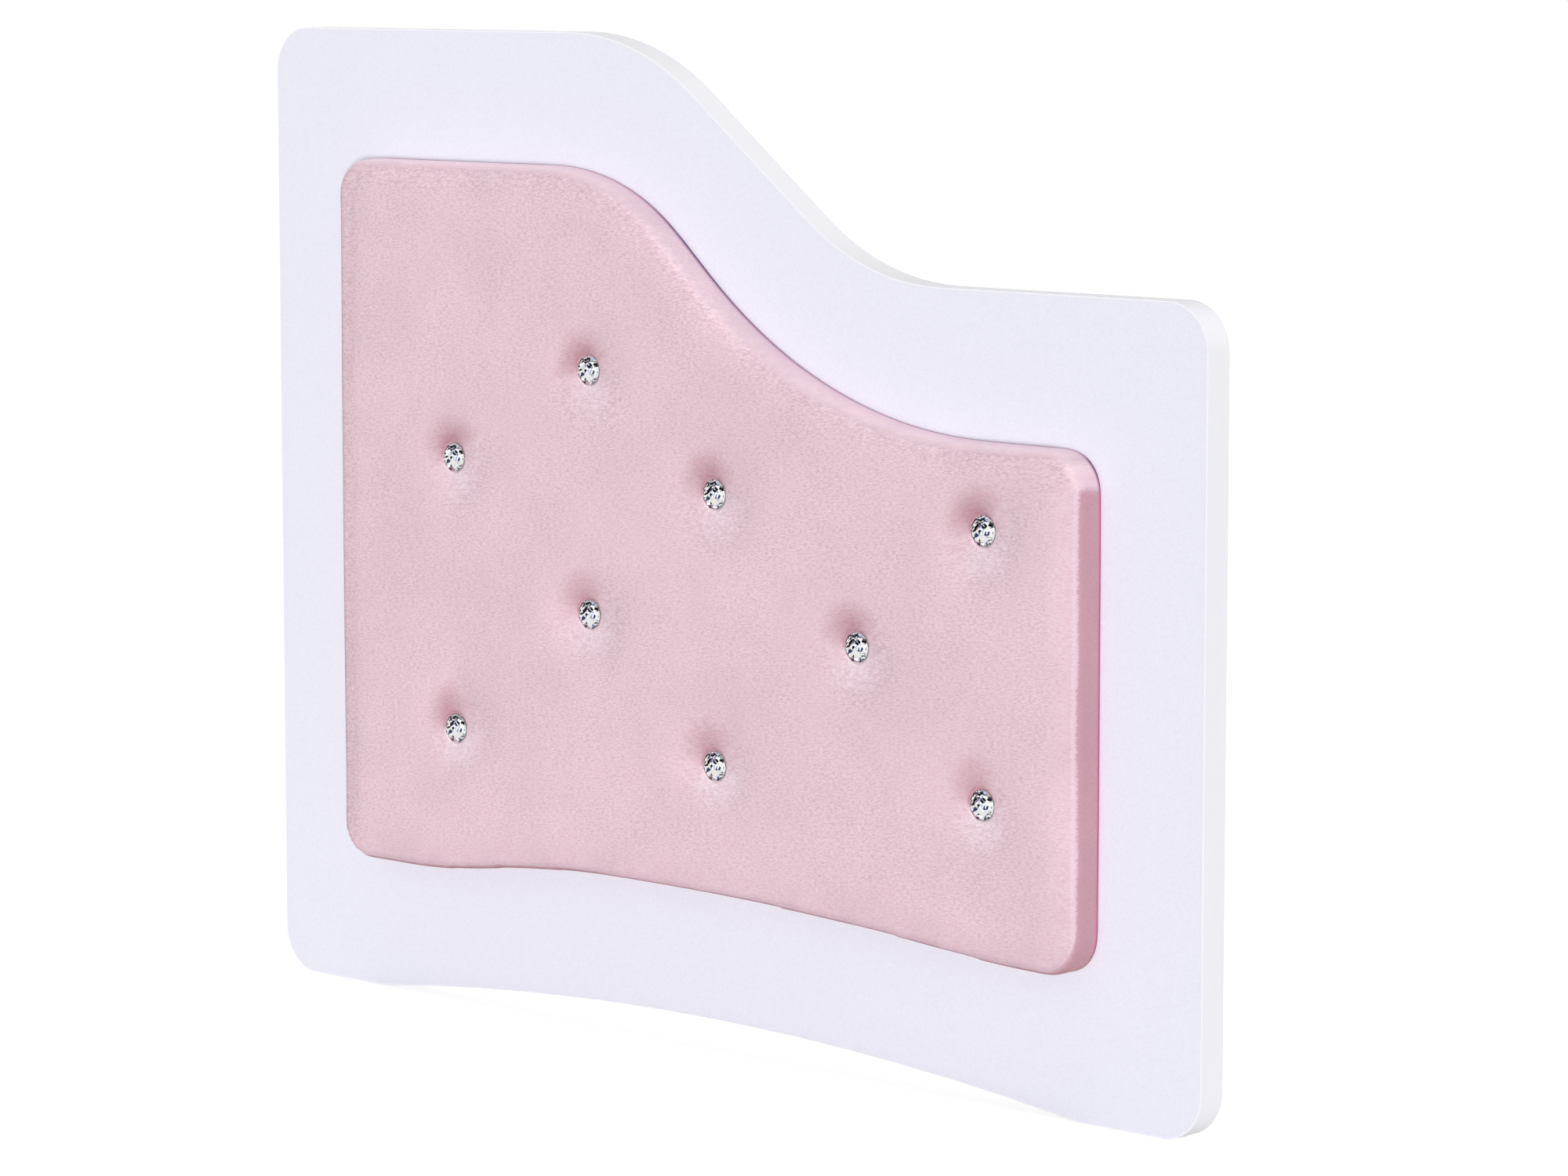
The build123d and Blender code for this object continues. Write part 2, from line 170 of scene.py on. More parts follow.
def times(tree: bpy.types.NodeTree, colour: Socket | Colour, *factors: Socket) -> Socket:
    """Darkens or lightens a colour by values round one."""
    for factor in factors:
        start = colour if isinstance(colour, Socket) else colour[:3]
        colour = add(tree, "VectorMath", {"operation": "SCALE"}, n0=start, Scale=factor).outputs[0]
    return colour


@dataclass(frozen=True)
class Finish:
    """A material that is named for what it is made of.

    A tint holds the least and the most of a colour's factor. A relief holds how much of it shows and its full
    height.
    """

    name: str

    def shader(self, **sockets: object) -> tuple[bpy.types.Material, Node]:
        """Starts the material.

        Args:
            sockets: values of the shader's own sockets.

        Returns:
            The material and its main shader.
        """
        material = bpy.data.materials.new(self.name)
        material.use_nodes = True
        shader = next(node for node in material.node_tree.nodes if node.type == "BSDF_PRINCIPLED")
        for name, value in sockets.items():
            shader.inputs[name.replace("_", " ")].default_value = value
        return material, shader

    def bump(
        self, material: bpy.types.Material, shader: Node, height: Socket, strength: float, depth: float
    ) -> None:
        """Raises the surface by a height.

        Args:
            material: the material.
            shader: its main shader.
            height: the relief, from 0 to 1.
            strength: how much of it shows.
            depth: its full height in metres.
        """
        node = add(material.node_tree, "Bump", Height=height, Strength=strength, Distance=depth)
        material.node_tree.links.new(node.outputs[0], shader.inputs["Normal"])

    def paint(
        self, material: bpy.types.Material, shader: Node, colour: Socket, socket: str = "Base Color"
    ) -> None:
        """Links a colour or a value to the shader."""
        material.node_tree.links.new(colour, shader.inputs[socket])


@dataclass(frozen=True)
class MelamineLaminate(Finish):
    """Melamine-faced board, pressed on a satin plate: a cool white with a very fine orange-peel."""

    name: str = "melamine_laminate_cool_white"
    white: str = "#EBEBF6"
    peel: float = 1.4 * MM
    peel_tint: Pair = (0.968, 1.026)
    peel_roughness: Pair = (0.38, 0.46)
    cloud: float = 160 * MM
    cloud_tint: Pair = (0.995, 1.005)
    relief: Pair = (0.15, 0.06 * MM)

    def material(self) -> bpy.types.Material:
        """The panel's satin faces."""
        material, shader = self.shader(Roughness=0.42, IOR=1.5, Specular_IOR_Level=0.35)
        tree = material.node_tree
        peel = grain(tree, Vector.Fill(3, self.peel), detail=3.0)
        cloud = grain(tree, Vector.Fill(3, self.cloud))
        tints = spread(tree, peel, *self.peel_tint), spread(tree, cloud, *self.cloud_tint)
        self.paint(material, shader, times(tree, linear(self.white), *tints))
        self.paint(material, shader, spread(tree, peel, *self.peel_roughness), "Roughness")
        self.bump(material, shader, peel, *self.relief)
        return material


@dataclass(frozen=True)
class AbsEdging(Finish):
    """ABS edging, extruded and glued on hot: a shade lighter than the faces, with faint lines along it."""

    name: str = "abs_edging_white"
    white: str = "#F5F5FB"
    line: float = 0.9 * MM
    line_length: float = 60 * MM
    line_tint: Pair = (0.985, 1.0)
    line_roughness: Pair = (0.33, 0.4)
    relief: Pair = (0.08, 0.05 * MM)

    def material(self) -> bpy.types.Material:
        """The strip round the panel."""
        material, shader = self.shader(Roughness=0.36, IOR=1.53, Specular_IOR_Level=0.4)
        tree = material.node_tree
        lines = grain(tree, Vector((self.line_length, self.line, self.line_length)))
        self.paint(material, shader, times(tree, linear(self.white), spread(tree, lines, *self.line_tint)))
        self.paint(material, shader, spread(tree, lines, *self.line_roughness), "Roughness")
        self.bump(material, shader, lines, *self.relief)
        return material


@dataclass(frozen=True)
class BrushedVelvet(Finish):
    """Polyester velvet with a cut pile that lies down and to the right.

    Slopes are painted darker the more they face the way the pile lies, down and to the right: partly the
    pile's own look, partly painted shade. Faces that turn up are painted lighter by the tones, as painted
    light from above, and a little darker again by their height. Round each button the slopes above get deeper
    painted shade and those below a painted highlight, and where the front rolls over it gets a painted
    highlight. Single hairs are finer than a pixel, so the grain is drawn as strokes of 3.4 by 1.1 mm. The
    contact line on the panel and the faces that turn down are painted shade in the velvet's tones, the
    darkest where the edge leans up and to the right. A fade holds its start, its end and its value at each.
    """

    name: str = "polyester_velvet_powder_pink"
    back: float = 0.0
    sheen: str = "#FBE6EE"
    # Tones by slope: painted light where faces turn up, painted shade where they face down and to the right
    tones: tuple[tuple[float, str], ...] = (
        (0.12, "#F8E0EB"), (0.24, "#EFD5E0"), (0.36, "#E0C7D2"), (0.42, "#E5CDD7"), (0.5, "#ECD3DC"),
        (0.56, "#E9D0D9"), (0.64, "#DEC4D0"), (0.74, "#DBC0CC"), (0.783, "#BE97A2"), (1.0, "#B9909A"))
    shaded: str = "#EEDFE3"
    # A painted highlight where the front rolls over
    rim_highlight: str = "#F6E0EA"
    # The way whose slopes are painted darker: partly the pile's own look, partly painted shade
    lay_and_shade: tuple[float, float, float] = (0.62, 0.0, -0.78)
    # Round each button: painted shade on the slopes above, a painted highlight on those below
    tuft_shade_way: tuple[float, float, float] = (0.42, 0.0, -0.91)
    tuft_shade: str = "#B5838D"
    tuft_highlight: str = "#FAE9F2"
    steepest: float = 0.2
    tuft_shade_start: float = 0.1
    most_tuft_shade: float = 0.75
    most_tuft_highlight: float = 0.9
    stroke: tuple[float, float, float] = (3.4 * MM, 3.4 * MM, 1.1 * MM)
    stroke_slant: float = math.radians(-6)
    brush: tuple[float, float, float] = (26 * MM, 26 * MM, 90 * MM)
    brush_slant: float = math.radians(24)
    cloud: float = 60 * MM
    cloud_tint: Pair = (0.965, 1.035)
    relief: Pair = (0.5, 0.4 * MM)
    # Painted shade along the panel: the contact line's tones by the way the edge faces
    contact_shade_tones: tuple[tuple[float, str], ...] = (
        (0.2, "#9A5C50"), (0.5, "#B4527A"), (0.8, "#5A2A62"), (0.87, "#5A2A62"), (0.98, "#B58CA6"))
    contact_shade_width: float = 3.0 * MM
    upper_contact_shade_share: float = 1.7
    brush_share: float = 0.43
    ruffle: Fade = (0.3, 0.9, 0.2, 0.7)
    whole_turn: Fade = (-1.0, 1.0, 0.0, 1.0)
    # Where the painted highlight on the roll starts and ends
    highlight_streak: Fade = (0.93, 0.82, 0.0, 0.2)
    highlight_streak_end: Fade = (0.5, 0.75, 0.0, 1.0)
    parting: Fade = (0.62, 0.36, 0.0, 1.0)
    parting_shown: Fade = (0.5, 0.95, 0.45, 1.0)
    # Painted shade on faces that turn up
    upward_shade: Fade = (0.3, 0.7, 1.0, 0.89)
    # Painted shade on faces that turn down, in the contact line's tones
    underside_shade: Fade = (-0.75, -0.97, 0.0, 0.75)

    def material(self) -> bpy.types.Material:
        """The cover's pile."""
        material, shader = self.shader(
            Roughness=0.92, IOR=1.45, Specular_IOR_Level=0.12, Sheen_Weight=0.18, Sheen_Roughness=0.42,
            Sheen_Tint=linear(self.sheen))
        tree = material.node_tree
        pile = grain(tree, Vector(self.stroke), detail=4.0, turn=self.stroke_slant, rough=0.7)
        normal = add(tree, "NewGeometry").outputs["Normal"]
        way = add(tree, "SeparateXYZ", Vector=normal)
        facing = add(tree, "Math", {"operation": "ABSOLUTE"}, n0=way.outputs["Y"]).outputs[0]
        colour = self.nap_and_shade(tree, pile, normal, facing)
        colour = self.tufted(tree, colour, normal)
        colour = self.rim_highlighted(tree, colour, facing)
        colour = self.parted(tree, colour, pile, facing)
        cloud = grain(tree, Vector.Fill(3, self.cloud))
        # Faces that turn up are painted a little darker, as painted shade
        upward_shade = add(tree, "MapRange", Value=way.outputs["Z"], **steps(self.upward_shade)).outputs[0]
        colour = times(tree, colour, spread(tree, cloud, *self.cloud_tint), upward_shade)
        # The contact line along the panel is painted shade
        self.paint(material, shader, self.contact_shaded(tree, colour, way.outputs["Z"]))
        self.bump(material, shader, pile, *self.relief)
        return material

    def nap_and_shade(self, tree: bpy.types.NodeTree, pile: Socket, normal: Socket, facing: Socket) -> Socket:
        """Each slope's tone by the way the pile lies and as painted light and shade, ruffled by hairs and
        brush marks.

        Args:
            tree: the material's tree.
            pile: the hairs' noise.
            normal: the surface's normal.
            facing: one on the front and the back, zero on the sides.

        Returns:
            The colour.
        """
        dot = {"operation": "DOT_PRODUCT"}
        multiply_add = {"operation": "MULTIPLY_ADD"}
        brush = grain(tree, Vector(self.brush), turn=self.brush_slant)
        leaning = add(tree, "VectorMath", dot, n0=normal, n1=self.lay_and_shade).outputs["Value"]
        ruffle = add(tree, "MapRange", Value=facing, **steps(self.ruffle)).outputs[0]
        both = add(tree, "Math", multiply_add, n0=brush, n1=self.brush_share, n2=pile).outputs[0]
        middle = (1 + self.brush_share) / 2
        mixed = add(tree, "Math", {"operation": "SUBTRACT"}, n0=both, n1=middle).outputs[0]
        ruffled = add(tree, "Math", multiply_add, n0=mixed, n1=ruffle, n2=leaning).outputs[0]
        share = add(tree, "MapRange", Value=ruffled, **steps(self.whole_turn)).outputs[0]
        return ramp(tree, share, self.tones)

    def tufted(self, tree: bpy.types.NodeTree, colour: Socket, normal: Socket) -> Socket:
        """Paints shade on the slopes above each button and a painted highlight on those below."""
        pulled = add(tree, "Attribute", {"attribute_name": TUFT_SHADE_ATTRIBUTE}).outputs["Fac"]
        dot = {"operation": "DOT_PRODUCT"}
        down = add(tree, "VectorMath", dot, n0=normal, n1=self.tuft_shade_way).outputs["Value"]
        tuft_shading = add(tree, "Math", {"operation": "MULTIPLY"}, n0=down, n1=pulled).outputs[0]
        tuft_shade = self.steepest, self.tuft_shade, self.most_tuft_shade
        tuft_highlight = -self.steepest, self.tuft_highlight, self.most_tuft_highlight
        for end, code, most in (tuft_shade, tuft_highlight):
            fade = self.tuft_shade_start * end, end, 0.0, most
            part = add(tree, "MapRange", Value=tuft_shading, **steps(fade)).outputs[0]
            colour = add(tree, "MixRGB", n0=part, n1=colour, n2=linear(code)).outputs[0]
        return colour

    def rim_highlighted(self, tree: bpy.types.NodeTree, colour: Socket, facing: Socket) -> Socket:
        """Paints a light band, a painted highlight, where the front begins to roll over."""
        turned = add(tree, "MapRange", Value=facing, **steps(self.highlight_streak)).outputs[0]
        over = add(tree, "MapRange", Value=facing, **steps(self.highlight_streak_end)).outputs[0]
        edge = add(tree, "Math", {"operation": "MULTIPLY"}, n0=turned, n1=over).outputs[0]
        return add(tree, "MixRGB", n0=edge, n1=colour, n2=linear(self.rim_highlight)).outputs[0]

    def parted(self, tree: bpy.types.NodeTree, colour: Socket, pile: Socket, facing: Socket) -> Socket:
        """Shades the partings between the strokes, the most on the front."""
        hidden = add(tree, "MapRange", Value=pile, **steps(self.parting)).outputs[0]
        shown = add(tree, "MapRange", Value=facing, **steps(self.parting_shown)).outputs[0]
        between = add(tree, "Math", {"operation": "MULTIPLY"}, n0=hidden, n1=shown).outputs[0]
        darker = {"blend_type": "MULTIPLY"}
        return add(tree, "MixRGB", darker, n0=between, n1=colour, n2=linear(self.shaded)).outputs[0]

    def contact_shaded(self, tree: bpy.types.NodeTree, colour: Socket, upward: Socket) -> Socket:
        """Painted shade on the velvet's edge along the panel and its downward faces, a tone for each way it
        faces.

        Args:
            tree: the material's tree.
            colour: the colour so far.
            upward: the normal's height.

        Returns:
            The colour with the contact line's painted shade.
        """
        depth = add(tree, "SeparateXYZ", Vector=add(tree, "TexCoord").outputs["Object"]).outputs["Y"]
        side = self.back - self.contact_shade_width
        top = self.back - self.upper_contact_shade_share * self.contact_shade_width
        start = add(tree, "MapRange", Value=upward, **steps((0.0, 1.0, side, top))).outputs[0]
        smooth = {"interpolation_type": "SMOOTHSTEP"}
        contact_shade = add(tree, "MapRange", smooth, Value=depth, n1=start, n2=self.back, n3=0.0, n4=1.0).outputs[0]
        under = add(tree, "MapRange", Value=upward, **steps(self.underside_shade)).outputs[0]
        contact_shade = add(tree, "Math", {"operation": "MAXIMUM"}, n0=contact_shade, n1=under).outputs[0]
        share = add(tree, "MapRange", Value=upward, **steps(self.whole_turn)).outputs[0]
        return add(tree, "MixRGB", n0=contact_shade, n1=colour, n2=ramp(tree, share, self.contact_shade_tones)).outputs[0]


@dataclass(frozen=True)
class BirchPlywood(Finish):
    """Sanded birch plywood: pale, with long grain on its faces and thin darker plies at its edge."""

    name: str = "birch_plywood"
    wood: str = "#D9BF97"
    ply: float = 1.5 * MM
    fibre_length: float = 55 * MM
    fibre_width: float = 2.2 * MM
    fibre_tint: Pair = (0.82, 1.08)
    sheet: float = 2.0
    ply_tint: Pair = (0.9, 1.04)
    relief: Pair = (0.3, 0.1 * MM)

    def material(self) -> bpy.types.Material:
        """The pad's base."""
        material, shader = self.shader(Roughness=0.68, IOR=1.5, Specular_IOR_Level=0.3)
        tree = material.node_tree
        fibre = grain(tree, Vector((self.fibre_length, self.ply, self.fibre_width)), detail=4.0)
        plies = grain(tree, Vector((self.sheet, self.ply * 2, self.sheet)))
        tints = spread(tree, fibre, *self.fibre_tint), spread(tree, plies, *self.ply_tint)
        self.paint(material, shader, times(tree, linear(self.wood), *tints))
        self.bump(material, shader, fibre, *self.relief)
        return material


@dataclass(frozen=True)
class OpenFoam(Finish):
    """Polyurethane foam, cut from the block: cream, matt and full of small open cells."""

    name: str = "polyurethane_foam_cream"
    cream: str = "#EFE3C2"
    cell: float = 1.4 * MM
    cell_tint: Pair = (0.84, 1.05)
    patch: float = 90 * MM
    patch_tint: Pair = (0.95, 1.02)
    relief: Pair = (0.6, 0.5 * MM)

    def material(self) -> bpy.types.Material:
        """The pad's filling."""
        material, shader = self.shader(Roughness=0.95, Specular_IOR_Level=0.15)
        tree = material.node_tree
        cells = grain(tree, Vector.Fill(3, self.cell))
        yellowed = grain(tree, Vector.Fill(3, self.patch))
        tints = spread(tree, cells, *self.cell_tint), spread(tree, yellowed, *self.patch_tint)
        self.paint(material, shader, times(tree, linear(self.cream), *tints))
        self.bump(material, shader, cells, *self.relief)
        return material


@dataclass(frozen=True)
class PolyesterWadding(Finish):
    """Carded polyester wadding: white, matt, with loose fibres that run every way."""

    name: str = "polyester_wadding"
    white: str = "#F4F4F2"
    fibre: float = 2.5 * MM
    stretch: float = 4.0
    slants: Pair = (math.radians(30), math.radians(-50))
    loose_tint: Pair = (0.9, 1.03)
    crossed_tint: Pair = (0.92, 1.03)
    relief: Pair = (0.5, 0.6 * MM)

    def material(self) -> bpy.types.Material:
        """The wrap between foam and velvet."""
        material, shader = self.shader(Roughness=1.0, Specular_IOR_Level=0.1, Sheen_Weight=0.3)
        tree = material.node_tree
        size = Vector((self.fibre * self.stretch, self.fibre, self.fibre))
        loose, crossed = [grain(tree, size, detail=3.0, turn=slant) for slant in self.slants]
        tints = spread(tree, loose, *self.loose_tint), spread(tree, crossed, *self.crossed_tint)
        self.paint(material, shader, times(tree, linear(self.white), *tints))
        self.bump(material, shader, loose, *self.relief)
        return material


@dataclass(frozen=True)
class PlatedMetal(Finish):
    """Zinc, tin or nickel plate over steel: a metal with faint drawing marks and duller patches."""

    name: str
    tone: str = "#C9CBCC"
    dull: float = 0.34
    mark: float = 0.6 * MM
    stretch: float = 5.0
    mark_tint: Pair = (0.93, 1.04)
    patch: float = 6 * MM
    patch_tint: Pair = (0.95, 1.03)
    patch_roughness: Pair = (0.8, 1.2)
    relief: Pair = (0.1, 0.04 * MM)

    def material(self) -> bpy.types.Material:
        """Small hardware."""
        material, shader = self.shader(Metallic=1.0, Roughness=self.dull)
        tree = material.node_tree
        marks = grain(tree, Vector((self.mark * self.stretch, self.mark, self.mark)))
        patches = grain(tree, Vector.Fill(3, self.patch))
        tints = spread(tree, marks, *self.mark_tint), spread(tree, patches, *self.patch_tint)
        dullness = [self.dull * share for share in self.patch_roughness]
        self.paint(material, shader, times(tree, linear(self.tone), *tints))
        self.paint(material, shader, spread(tree, patches, *dullness), "Roughness")
        self.bump(material, shader, marks, *self.relief)
        return material


@dataclass(frozen=True)
class WaxedTwine(Finish):
    """Waxed polyester twine: off-white, with the slant of its twisted strands."""

    name: str = "waxed_twine"
    tone: str = "#DDD5C3"
    strand: float = 0.5 * MM
    stretch: float = 3.0
    slant: float = math.radians(45)
    strand_tint: Pair = (0.8, 1.06)
    relief: Pair = (0.6, 0.2 * MM)

    def material(self) -> bpy.types.Material:
        """The cords behind the buttons."""
        material, shader = self.shader(Roughness=0.6, Specular_IOR_Level=0.35, Sheen_Weight=0.2)
        tree = material.node_tree
        length = self.strand * self.stretch
        strands = grain(tree, Vector((length, length, self.strand)), detail=1.0, turn=self.slant)
        self.paint(material, shader, times(tree, linear(self.tone), spread(tree, strands, *self.strand_tint)))
        self.bump(material, shader, strands, *self.relief)
        return material


@dataclass(frozen=True)
class FoiledCrystal(Finish):
    """Cut glass with a silvered back, whose foil is painted with light and dark cells as painted reflections.

    The foil lies on the facets behind the girdle, and the clear ones in front of it break what they show. The
    foil's colour is painted reflection: black, blue and white cells that stand for the dark and light it
    would mirror. All stones carry the same cells, measured from the middle of their girdle. The index is
    drawn lower than glass's 1.5 and the front's gloss duller, so that the cells stay crisp and dark ones stay
    black.
    """

    middle: Vector
    glass_index: float = 1.3
    gloss: str = "#707070"
    shard: float = 2.2 * MM
    seed: Vector = Vector((-4.0, 13.9, -4.5))
    # The foil's painted reflections: where each tone of dark or light starts
    reflection_shards: tuple[tuple[float, str], ...] = (
        (0.0, "#05070F"), (0.15, "#39456E"), (0.19, "#BFCFF2"), (0.27, "#FFFFFF"))

    def material(self) -> bpy.types.Material:
        """Clear in front of the girdle, foil with painted reflections behind it."""
        material, glass = self.shader(
            Roughness=0.01, IOR=self.glass_index, Transmission_Weight=1.0, Specular_Tint=linear(self.gloss))
        tree = material.node_tree
        where = add(tree, "TexCoord").outputs["Object"]
        place = add(tree, "VectorMath", {"operation": "SUBTRACT"}, n0=where, n1=self.middle).outputs[0]
        moved = add(tree, "VectorMath", n0=place, n1=self.seed * self.shard).outputs[0]
        cells = add(tree, "TexVoronoi", Vector=moved, Scale=1 / self.shard)
        chance = add(tree, "SeparateColor", Color=cells.outputs["Color"]).outputs["Red"]
        # The foil is painted in cells of dark and light, standing for reflections
        colours = ramp(tree, chance, self.reflection_shards, "CONSTANT")
        foil = add(tree, "BsdfPrincipled", Base_Color=colours, Metallic=1.0, Roughness=0.02)
        depth = add(tree, "SeparateXYZ", Vector=place).outputs["Y"]
        behind = add(tree, "Math", {"operation": "GREATER_THAN"}, n0=depth, n1=0.0).outputs[0]
        both = add(tree, "MixShader", n0=behind, n1=glass.outputs[0], n2=foil.outputs[0])
        output = next(node for node in tree.nodes if node.type == "OUTPUT_MATERIAL")
        tree.links.new(both.outputs[0], output.inputs["Surface"])
        return material


def piece_of(name: str, mesh: bpy.types.Mesh) -> Piece:
    """A new object at the origin that shows a mesh."""
    piece = bpy.data.objects.new(name, mesh)
    bpy.context.scene.collection.objects.link(piece)
    return piece


def dress(piece: Piece, material: bpy.types.Material) -> None:
    """Gives all of a piece one material."""
    if not piece.data.materials:
        piece.data.materials.append(material)
    for slot in piece.material_slots:
        slot.material = material


def hand_over(piece: Piece, slot: Slot, *nodes: str) -> None:
    """Makes a finished piece ride and stand for its nodes.

    Args:
        piece: the finished piece.
        slot: the slot of its finish, not used.
        nodes: the solids that it stands for.
    """
    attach(piece, "root")
    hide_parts(*nodes)
    LOG.info("%s: %d faces", piece.name, len(piece.data.polygons))


def merged_copy(node: str) -> bmesh.types.BMesh:
    """A solid's mesh with its loose triangles joined."""
    mesh = bmesh.new()
    mesh.from_mesh(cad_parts[node].data)
    bmesh.ops.remove_doubles(mesh, verts=mesh.verts, dist=MERGE)
    return mesh


def to_mesh(work: bmesh.types.BMesh, name: str) -> bpy.types.Mesh:
    """Ends work on a bmesh and gives it as a named mesh."""
    mesh = bpy.data.meshes.new(name)
    work.to_mesh(mesh)
    work.free()
    return mesh


def baked(piece: Piece, kind: str, **settings: object) -> None:
    """Puts one modifier on a piece and applies it.

    Args:
        piece: the piece, whose mesh is changed.
        kind: the modifier's type.
        settings: its properties.
    """
    modifier = piece.modifiers.new(kind.lower(), kind)
    for name, value in settings.items():
        setattr(modifier, name, value)
    keep(piece)


def keep(piece: Piece) -> None:
    """Applies what the piece's modifiers show at this moment."""
    shown = piece.evaluated_get(bpy.context.evaluated_depsgraph_get())
    mesh = bpy.data.meshes.new_from_object(shown)
    piece.modifiers.clear()
    old, piece.data = piece.data, mesh
    bpy.data.meshes.remove(old)


def points_of(piece: Piece) -> np.ndarray:
    """A piece's vertices as rows."""
    flat = np.zeros(len(piece.data.vertices) * 3)
    piece.data.vertices.foreach_get("co", flat)
    return flat.reshape(-1, 3)


def move_points(piece: Piece, points: np.ndarray) -> None:
    """Puts a piece's vertices where the rows say."""
    piece.data.vertices.foreach_set("co", points.ravel())
    piece.data.update()


def evened(mesh: bpy.types.Mesh, field: np.ndarray, rounds: int) -> np.ndarray:
    """Smooths values on a mesh's vertices.

    Args:
        mesh: the mesh.
        field: one row for each vertex.
        rounds: how often each row takes in its neighbours' mean.

    Returns:
        The smoothed rows.
    """
    ends = np.zeros(len(mesh.edges) * 2, dtype=int)
    mesh.edges.foreach_get("vertices", ends)
    ends = np.concatenate([ends.reshape(-1, 2), ends.reshape(-1, 2)[:, ::-1]])
    count = np.bincount(ends[:, 0], minlength=len(field))[:, None]
    for _ in range(rounds):
        total = np.zeros_like(field)
        np.add.at(total, ends[:, 0], field[ends[:, 1]])
        field = (field + total / count) / 2
    return field


@dataclass
class Panel:
    """The white panel with its edging and the nuts for the bed's bolts."""

    edge_softening: float = 0.15 * MM
    edge_steps: int = 2
    sharpest_smooth: float = math.radians(30)
    flattest: float = math.radians(0.5)
    least_corner: float = math.radians(60)
    rim_facing: float = 0.9
    wall_facing: float = 0.1
    smallest_wall: float = 4 * MM * MM

    def build(self) -> None:
        """Makes the edging and dresses the rest."""
        self.edging()
        dress(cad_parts["board_panel"], MelamineLaminate().material())
        dress(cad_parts["bed_insert_nuts"], PlatedMetal("zinc_plate_insert", "#B9B6A8").material())

    def edging(self) -> None:
        """The edging with its long edges scraped soft, as glued edging is."""
        strip = merged_copy("edge_band")
        bmesh.ops.dissolve_limit(strip, angle_limit=self.flattest, verts=strip.verts, edges=strip.edges)
        edges = [edge for edge in strip.edges if self.is_outer_corner(edge)]
        bmesh.ops.bevel(
            strip, geom=edges, offset=self.edge_softening, segments=self.edge_steps, profile=0.5,
            affect="EDGES", material=-1)
        piece = piece_of("edging_strip", to_mesh(strip, "edging_strip"))
        piece.data.shade_smooth()
        piece.data.set_sharp_from_angle(angle=self.sharpest_smooth)
        baked(piece, "WEIGHTED_NORMAL", mode="FACE_AREA", weight=100, keep_sharp=True)
        dress(piece, AbsEdging().material())
        hand_over(piece, Slot.EDGING, "edge_band")

    def is_outer_corner(self, edge: bmesh.types.BMEdge) -> bool:
        """Whether an edge is a long outer one, between the strip's broad side and its thin rim."""
        if len(edge.link_faces) != 2 or edge.calc_face_angle_signed() < self.least_corner:
            return False
        rims = [face for face in edge.link_faces if abs(face.normal.y) > self.rim_facing]
        walls = [face for face in edge.link_faces if abs(face.normal.y) < self.wall_facing]
        if not rims or not walls:
            return False
        middle = (edge.verts[0].co + edge.verts[1].co) / 2
        inner = rims[0].calc_center_median()
        return walls[0].normal.dot(middle - inner) > 0 and walls[0].calc_area() > self.smallest_wall


